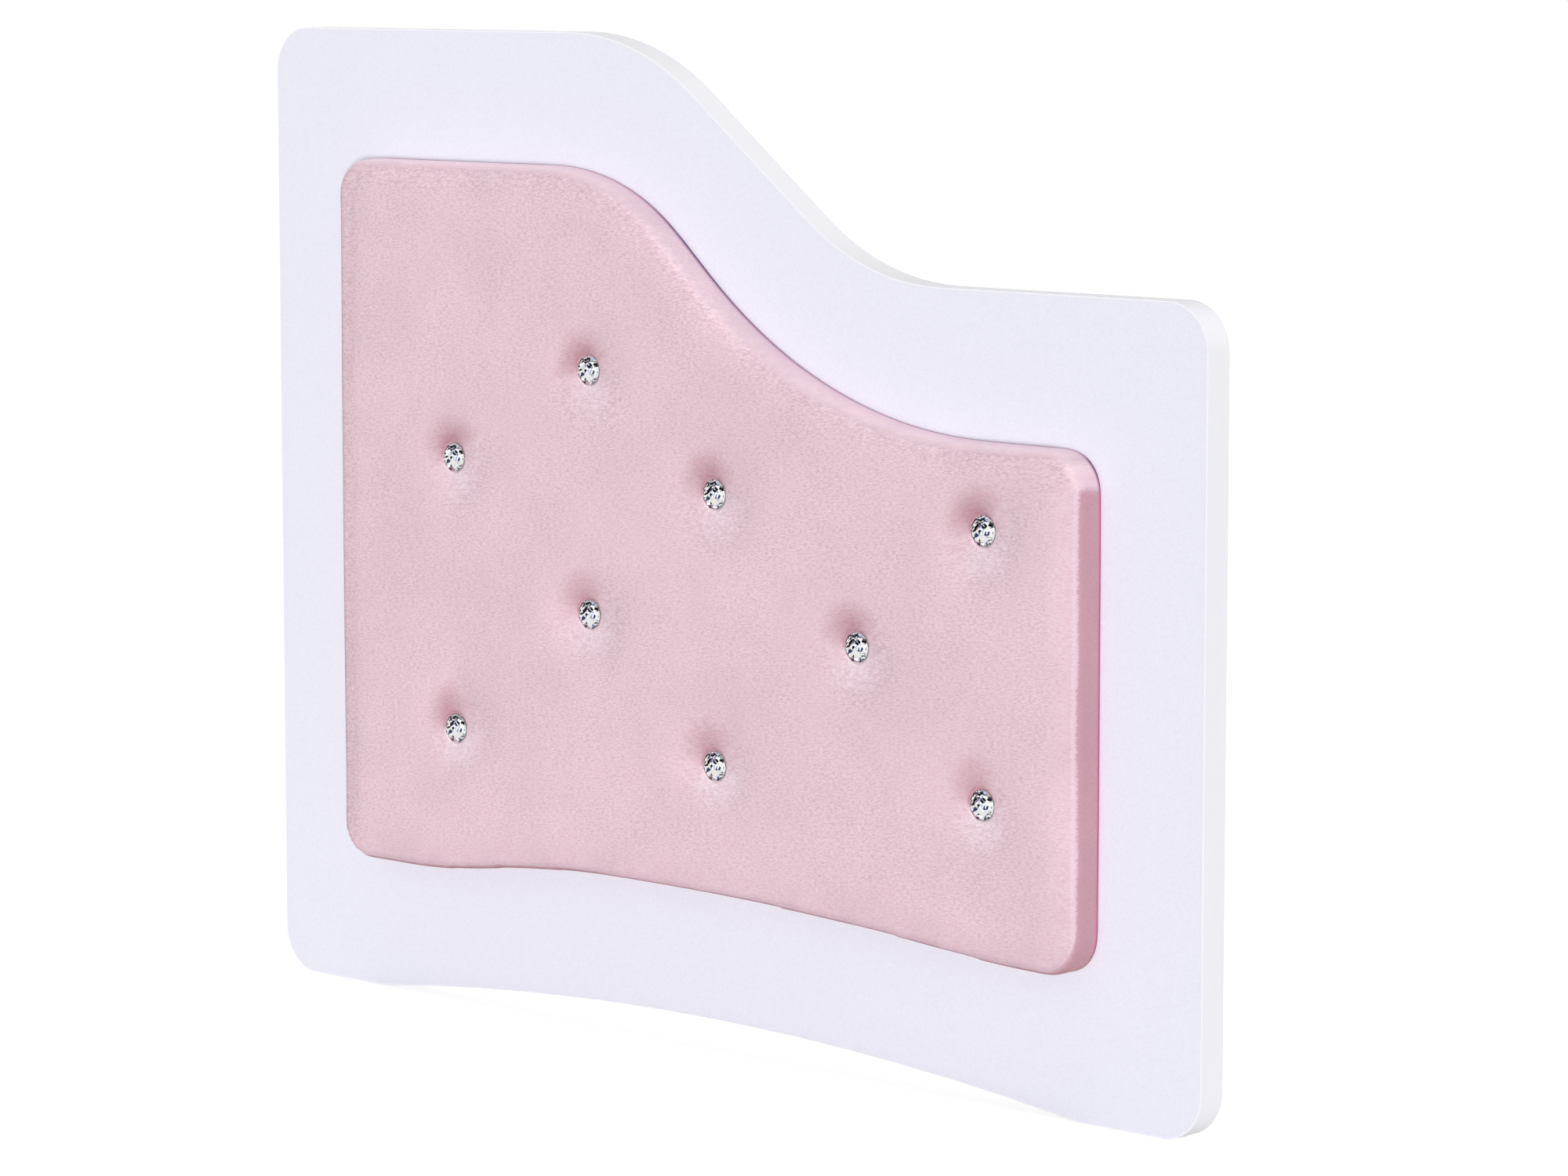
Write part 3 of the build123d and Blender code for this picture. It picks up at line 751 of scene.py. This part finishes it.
@dataclass
class Pad:
    """The pad: plywood, foam, wadding and the tufted velvet that is folded behind."""

    # The layers: their thickness, and how far they lie inside the cover's surface
    cover_thickness: float = 1.2 * MM
    wadding_inside: float = 1.3 * MM
    wadding_thickness: float = 1.8 * MM
    foam_inside: float = 3.2 * MM
    fold_width: float = 25 * MM
    # The tufts
    tuft_depth: float = 8.0 * MM
    seat_radius: float = 9.0 * MM
    collar_radius: float = 10.7 * MM
    collar_depth: float = 3.0 * MM
    mouth_radius: float = 40.0 * MM
    tuft_reach: float = 15.0 * MM
    # How strongly the painted tuft shade and highlight follow the pull round each button
    tuft_shade_gain: float = 2.5
    # The form and the nets laid on it
    sharpest_skin: float = math.radians(75)
    voxel: float = 6.0 * MM
    fine_radius: float = 22 * MM
    front_reach: float = 4 * MM
    rim_step: float = 0.8 * MM
    run_past: float = 12 * MM
    rounding: int = 3
    # The cloth, and how its swelling is carried to the finer net
    pressure: float = 4.0
    frames: int = 20
    seam_reach: float = 2 * MM
    swell: float = 1.2 * MM
    evening_rounds: int = 12
    neighbours: int = 4
    nearest: float = 0.2 * MM
    carrying_rounds: int = 2
    # The widest angles between faces that are still shaded smooth
    sharpest_velvet: float = math.radians(60)
    sharpest_filling: float = math.radians(50)
    # How full each padded piece is
    velvet_fill: float = 0.8
    foam_fill: float = 0.9
    wadding_fill: float = 0.5

    def build(self, buttons: list[Vector]) -> None:
        """Makes the soft layers and dresses the hard ones.

        Args:
            buttons: where the buttons sit.
        """
        self.buttons = buttons
        self.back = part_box("velvet_cover")[1].y
        form = self.form()
        soft = self.swollen(form)
        self.layers(soft)
        self.cover(form, soft)
        bpy.data.objects.remove(form)
        bpy.data.objects.remove(soft)
        wire = PlatedMetal("galvanised_staple_wire", "#B4B5B6", 0.4).material()
        zinc = PlatedMetal("zinc_plate_screw", "#C6C8CB").material()
        finishes = {"pad_base": BirchPlywood().material(), "cover_staples": wire, "cord_staples": wire,
                    "pad_nuts": zinc, "pad_screws": zinc}
        for node, material in finishes.items():
            dress(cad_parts[node], material)

    def form(self) -> Piece:
        """The pad's closed outer form without its tufts, from the cover's solid, drawn out past its back."""
        skin = merged_copy("velvet_cover")
        start = min(skin.faces, key=lambda face: face.calc_center_median().y)
        kept, wave = {start}, [start]
        while wave:
            for edge in wave.pop().edges:
                if len(edge.link_faces) == 2 and edge.calc_face_angle() < self.sharpest_skin:
                    reached = [face for face in edge.link_faces if face not in kept]
                    kept.update(reached)
                    wave.extend(reached)
        lost = [face for face in skin.faces if face not in kept or self.in_tuft(face.calc_center_median())]
        bmesh.ops.delete(skin, geom=lost, context="FACES")
        bmesh.ops.holes_fill(skin, edges=[edge for edge in skin.edges if edge.is_boundary])
        bmesh.ops.triangulate(skin, faces=skin.faces)
        bmesh.ops.recalc_face_normals(skin, faces=skin.faces)
        ends = [vert for vert in skin.verts if vert.co.y > self.back - MERGE]
        bmesh.ops.translate(skin, verts=ends, vec=(0, self.run_past, 0))
        return piece_of("pad_form", to_mesh(skin, "pad_form"))

    def in_tuft(self, point: Vector) -> bool:
        """Whether a point lies in one of the tufts."""
        return self.gap(point) < self.mouth_radius

    def gridded(self, form: Piece, finer: int) -> Piece:
        """The form as an even net that lies on it.

        Args:
            form: the closed form.
            finer: how often the net is divided.

        Returns:
            A new piece, without tufts.
        """
        piece = piece_of("pad_net", form.data.copy())
        baked(piece, "REMESH", mode="VOXEL", voxel_size=self.voxel)
        if finer:
            baked(piece, "SUBSURF", levels=finer, render_levels=finer)
            self.refine(piece)
        baked(piece, "SHRINKWRAP", target=form, wrap_method="NEAREST_SURFACEPOINT")
        points = points_of(piece)
        rounded = evened(piece.data, points, self.rounding * (1 + finer))
        rounded[:, 1] = points[:, 1]
        move_points(piece, rounded)
        return piece

    def refine(self, piece: Piece) -> None:
        """Divides the net once more round each button."""
        work = bmesh.new()
        work.from_mesh(piece.data)
        front = min(vert.co.y for vert in work.verts) + self.front_reach
        near = [edge for edge in work.edges
                if all(vert.co.y < front and self.gap(vert.co) < self.fine_radius for vert in edge.verts)]
        bmesh.ops.subdivide_edges(work, edges=near, cuts=1, use_grid_fill=True)
        work.to_mesh(piece.data)
        work.free()

    def gap(self, point: Vector) -> float:
        """How far a point is from the nearest button's axis."""
        return min(math.hypot(point.x - at.x, point.z - at.z) for at in self.buttons)

    def tuft(self, points: np.ndarray) -> np.ndarray:
        """Pulls the front in at each button, steeply under the crystal's rim and ever softer away from it.

        Args:
            points: vertices on the untufted form.

        Returns:
            The moved vertices.
        """
        front = points[:, 1] < points[:, 1].min() + self.tuft_depth
        moved = points.copy()
        for away in self.away(points):
            step = np.clip((self.collar_radius - away) / (self.collar_radius - self.seat_radius), 0, 1)
            fall = self.collar_depth * self.pull(away) + (self.tuft_depth - self.collar_depth) * step
            moved[:, 1] += np.where(front, fall, 0)
        return moved

    def away(self, points: np.ndarray) -> np.ndarray:
        """How far points are from each button's axis, as a row for each button."""
        return np.array([np.hypot(points[:, 0] - at.x, points[:, 2] - at.z) for at in self.buttons])

    def pull(self, away: np.ndarray) -> np.ndarray:
        """How much of the collar's depth is left at a distance from a button's axis."""
        soft = np.exp(-np.maximum(away - self.collar_radius, 0) / self.tuft_reach)
        fade = np.clip((self.mouth_radius + self.tuft_reach - away) / (2 * self.tuft_reach), 0, 1)
        return soft * fade * fade * (3 - 2 * fade)

    def swollen(self, form: Piece) -> Piece:
        """The tufted net after its filling has pressed it out between the buttons.

        Args:
            form: the closed form.

        Returns:
            A piece whose vertices are the coarse net's, held at the tufts and the back.
        """
        piece = self.gridded(form, 0)
        start = self.tuft(points_of(piece))
        move_points(piece, start)
        behind = start[:, 1] > self.back - self.seam_reach
        seated = self.away(start).min(axis=0) < self.seat_radius + self.seam_reach
        held = np.flatnonzero(behind | seated).tolist()
        piece.vertex_groups.new(name="held").add(held, 1.0, "REPLACE")
        cloth = piece.modifiers.new("cloth", "CLOTH")
        cloth.settings.vertex_group_mass = "held"
        cloth.settings.use_pressure = True
        cloth.settings.uniform_pressure_force = self.pressure
        cloth.settings.effector_weights.gravity = 0
        cloth.collision_settings.use_collision = False
        cloth.point_cache.frame_end = self.frames
        for number in range(1, self.frames + 1):
            bpy.context.scene.frame_set(number)
        keep(piece)
        bpy.context.scene.frame_set(1)
        shift = evened(piece.data, points_of(piece) - start, self.evening_rounds)
        length = np.linalg.norm(shift, axis=1, keepdims=True)
        LOG.info("cloth moved %.1f mm at most", length.max() / MM)
        capped = self.swell * np.tanh(length / self.swell)
        move_points(piece, start + shift * capped / np.maximum(length, MERGE * MM))
        return piece

    def cover(self, form: Piece, soft: Piece) -> None:
        """The velvet, fine enough for its tufts, open behind within the fold.

        Args:
            form: the closed form.
            soft: the swollen net.
        """
        net = self.gridded(form, 0)
        rest = points_of(net)
        bpy.data.objects.remove(net)
        shift = points_of(soft) - self.tuft(rest)
        tree = KDTree(len(rest))
        for number, point in enumerate(rest):
            tree.insert(point, number)
        tree.balance()
        piece = self.gridded(form, 1)
        points = points_of(piece)
        near = [tree.find_n(point, self.neighbours) for point in points]
        weight = np.array([[1 / (found[2] + self.nearest) for found in several] for several in near])
        index = np.array([[found[1] for found in several] for several in near])
        carried = (shift[index] * weight[:, :, None]).sum(axis=1) / weight.sum(axis=1)[:, None]
        move_points(piece, self.tuft(points) + evened(piece.data, carried, self.carrying_rounds))
        # How much painted shade and highlight the velvet shows round each button
        pulled = piece.data.attributes.new(TUFT_SHADE_ATTRIBUTE, "FLOAT", "POINT")
        share = self.tuft_shade_gain * self.pull(self.away(points).min(axis=0))
        pulled.data.foreach_set("value", np.minimum(share, 1))
        self.fold_behind(piece)
        baked(piece, "SOLIDIFY", thickness=self.cover_thickness, offset=-1.0)
        piece.name = "velvet_tufted_cover"
        piece.data.shade_smooth()
        piece.data.set_sharp_from_angle(angle=self.sharpest_velvet)
        dress(piece, BrushedVelvet(back=self.back).material())
        hand_over(piece, Slot.VELVET, "velvet_cover")

    def fold_behind(self, piece: Piece) -> None:
        """Cuts the closed cover off at the back and folds its edge in behind.

        Args:
            piece: the closed cover, which reaches past the back.
        """
        work = bmesh.new()
        work.from_mesh(piece.data)
        geometry = [*work.verts, *work.edges, *work.faces]
        plane = {"plane_co": (0, self.back, 0), "plane_no": (0, 1, 0)}
        bmesh.ops.bisect_plane(work, geom=geometry, clear_outer=True, **plane)
        rim = [vert for vert in work.verts if vert.is_boundary]
        bmesh.ops.remove_doubles(work, verts=rim, dist=self.rim_step)
        cap = bmesh.ops.holes_fill(work, edges=[edge for edge in work.edges if edge.is_boundary])["faces"]
        bmesh.ops.inset_region(work, faces=cap, thickness=self.fold_width, use_even_offset=True)
        bmesh.ops.delete(work, geom=cap, context="FACES")
        work.to_mesh(piece.data)
        work.free()

    def layers(self, soft: Piece) -> None:
        """Foam and wadding, each in the swollen form and set in by the layers above it.

        Args:
            soft: the swollen net.
        """
        foam = self.set_in(soft, "foam_slab", self.foam_inside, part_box("pad_foam")[1].y, True)
        dress(foam, OpenFoam().material())
        hand_over(foam, Slot.FOAM, "pad_foam")
        wrap = self.set_in(soft, "wadding_wrap", self.wadding_inside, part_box("pad_wadding")[1].y, False)
        baked(wrap, "SOLIDIFY", thickness=self.wadding_thickness, offset=-1.0)
        wrap.data.shade_smooth()
        dress(wrap, PolyesterWadding().material())
        hand_over(wrap, Slot.WADDING, "pad_wadding")

    def set_in(self, soft: Piece, name: str, inside: float, back: float, closed: bool) -> Piece:
        """A layer under the cover.

        Args:
            soft: the swollen net.
            name: the layer's name.
            inside: how far it lies inside the cover's surface.
            back: the depth that it ends at.
            closed: whether its back is closed.

        Returns:
            The layer.
        """
        work = bmesh.new()
        work.from_mesh(soft.data)
        work.normal_update()
        for vert in work.verts:
            vert.co -= vert.normal * inside
        geometry = [*work.verts, *work.edges, *work.faces]
        plane = {"plane_co": (0, back, 0), "plane_no": (0, 1, 0)}
        bmesh.ops.bisect_plane(work, geom=geometry, clear_outer=True, **plane)
        if closed:
            bmesh.ops.holes_fill(work, edges=[edge for edge in work.edges if edge.is_boundary])
        piece = piece_of(name, to_mesh(work, name))
        piece.data.shade_smooth()
        piece.data.set_sharp_from_angle(angle=self.sharpest_filling)
        return piece


@dataclass
class Buttons:
    """Nine crystals with their metal backs and the cords that pull them in."""

    count: int = 9
    crown_height: float = 4.0 * MM

    def places(self) -> list[Vector]:
        """The middle of each crystal's girdle."""
        boxes = [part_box(f"crystal_{number}") for number in range(1, self.count + 1)]
        return [
            Vector(((low.x + high.x) / 2, low.y + self.crown_height, (low.z + high.z) / 2))
            for low, high in boxes
        ]

    def build(self) -> None:
        """Dresses the crystals, cups and cords."""
        twine = WaxedTwine().material()
        nickel = PlatedMetal("nickel_plate_cup", "#D6D4CF", 0.18).material()
        for number, middle in enumerate(self.places(), start=1):
            stone = FoiledCrystal(f"cut_crystal_foiled_{number}", middle)
            dress(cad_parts[f"crystal_{number}"], stone.material())
            dress(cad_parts[f"button_cord_{number}"], twine)
            dress(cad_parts[f"button_back_{number}"], nickel)
        LOG.info("%d buttons dressed", self.count)


@dataclass
class Studio:
    """A plain white room with soft light, and the camera of the picture."""

    camera_place: tuple[float, float, float] = (2.6337, -2.6855, 0.7842)
    camera_turn: float = math.radians(43.591)
    camera_dip: float = math.radians(6.894)
    lens: float = 124.10
    sensor: float = 36.0
    nearest_seen: float = 50 * MM
    floor_size: float = 30.0
    floor_white: str = "#BEBEBE"
    dome: float = 0.3
    floor_glow: float = 0.82
    softness: float = math.radians(16)
    lamps: tuple[tuple[str, tuple[float, float, float], float], ...] = (
        ("front_light", (0.9, -1.0, 0.0), 2.74),
        ("top_light", (0.0, 0.0, 1.0), 1.15),
        ("back_light", (-0.6, 1.0, 0.0), 2.2))

    def build(self) -> None:
        """Sets the stage."""
        scene = bpy.context.scene
        scene.view_settings.view_transform = "Standard"
        self.camera()
        self.world()
        self.floor()
        for name, towards, power in self.lamps:
            self.lamp(name, towards, power)

    def camera(self) -> None:
        """The picture's own camera."""
        camera = bpy.data.objects.new("camera", bpy.data.cameras.new("camera"))
        camera.data.lens = self.lens
        camera.data.sensor_width = self.sensor
        camera.data.clip_start = self.nearest_seen
        camera.location = self.camera_place
        camera.rotation_euler = (math.pi / 2 - self.camera_dip, 0.0, self.camera_turn)
        bpy.context.scene.collection.objects.link(camera)
        bpy.context.scene.camera = camera

    def world(self) -> None:
        """An even dome, which camera, mirrors and glass see as white."""
        world = bpy.data.worlds.new("studio_dome")
        world.use_nodes = True
        bpy.context.scene.world = world
        tree = world.node_tree
        tree.nodes.clear()
        level = add(tree, "MapRange", Value=self.seen(tree), n3=self.dome, n4=1.0).outputs[0]
        light = add(tree, "Background", Color=(1, 1, 1, 1), Strength=level)
        add(tree, "OutputWorld", Surface=light.outputs[0])

    def seen(self, tree: bpy.types.NodeTree) -> Socket:
        """One for what the camera sees, also in a mirror or through glass."""
        path = add(tree, "LightPath")
        seen = path.outputs["Is Camera Ray"]
        for ray in ("Is Glossy Ray", "Is Transmission Ray"):
            seen = add(tree, "Math", {"operation": "MAXIMUM"}, n0=seen, n1=path.outputs[ray]).outputs[0]
        return seen

    def floor(self) -> None:
        """A white floor that keeps the shadow."""
        work = bmesh.new()
        bmesh.ops.create_grid(work, x_segments=1, y_segments=1, size=self.floor_size / 2)
        floor = piece_of("floor", to_mesh(work, "floor"))
        material = bpy.data.materials.new("floor_white_matt")
        material.use_nodes = True
        tree = material.node_tree
        tree.nodes.clear()
        paint = add(tree, "BsdfDiffuse", Color=linear(self.floor_white))
        glow = add(tree, "Emission", Color=(1, 1, 1, 1), Strength=self.floor_glow)
        lit = add(tree, "AddShader", n0=paint.outputs[0], n1=glow.outputs[0])
        both = add(tree, "MixShader", n0=self.seen(tree), n1=paint.outputs[0], n2=lit.outputs[0])
        add(tree, "OutputMaterial", Surface=both.outputs[0])
        floor.data.materials.append(material)
        # The level lamp's lower half would otherwise be cut off
        floor.visible_shadow = False

    def lamp(self, name: str, towards: tuple[float, float, float], power: float) -> None:
        """A far, wide and soft lamp, even over the whole piece.

        Args:
            name: the lamp's name.
            towards: the direction that it stands in.
            power: what it gives a face turned to it, in watts per square metre.
        """
        light = bpy.data.lights.new(name, "SUN")
        light.angle = self.softness
        light.energy = power
        lamp = bpy.data.objects.new(name, light)
        lamp.rotation_euler = Vector(towards).to_track_quat("Z", "Y").to_euler()
        lamp.visible_camera = False
        lamp.visible_glossy = False
        bpy.context.scene.collection.objects.link(lamp)


def main() -> None:
    """Builds the studio and the headboard's parts in order."""
    logging.basicConfig(level=logging.INFO, format="%(name)s %(message)s")
    buttons = Buttons()
    Studio().build()
    Panel().build()
    Pad().build(buttons.places())
    buttons.build()


if __name__ == "__main__":
    main()
